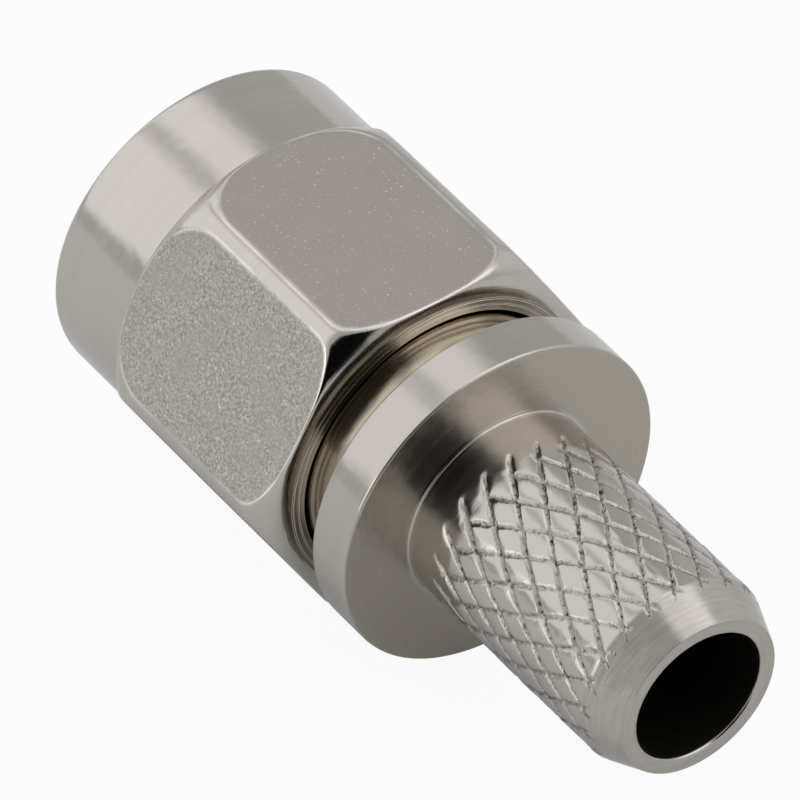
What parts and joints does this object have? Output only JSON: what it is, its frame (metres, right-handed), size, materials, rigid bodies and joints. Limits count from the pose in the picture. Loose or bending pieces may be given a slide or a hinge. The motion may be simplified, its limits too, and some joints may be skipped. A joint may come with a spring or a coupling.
{
  "type": "sma connector",
  "caption": "Coaxial crimp plug with a hexagonal coupling nut turning on a flanged body, a knurled crimp tube and a captive centre contact.",
  "frame": {"origin": "centre of the mating reference plane, where the outer contact sleeve ends", "axes": "+X along the connector's axis towards the cable, +Z square to an upper flat of the nut's hexagon"},
  "size_m": [0.0179, 0.009, 0.008],
  "materials": {
    "nickel": "nickel plated brass, warm grey, satin flats and polished edges",
    "spring_bronze": "phosphor bronze, plain",
    "gold": "gold plated brass",
    "silicone": "silicone rubber, matt",
    "ptfe": "white fluoroplastic, waxy"
  },
  "bodies": {
    "body": {"connector_body": "nickel", "gasket": "silicone", "insulator": "ptfe", "centre_contact": "gold"},
    "ring": {"retaining_ring": "spring_bronze"},
    "nut": {"coupling_nut": "nickel"}
  },
  "joints": [
    {"name": "nut_float", "type": "slide", "parent": "body", "child": "ring", "axis": [1, 0, 0], "range_m": [-0.00008, 0.00008]},
    {"name": "nut_spin", "type": "hinge", "parent": "ring", "child": "nut", "pos_m": [0, 0, 0], "axis": [1, 0, 0], "continuous": true}
  ]
}
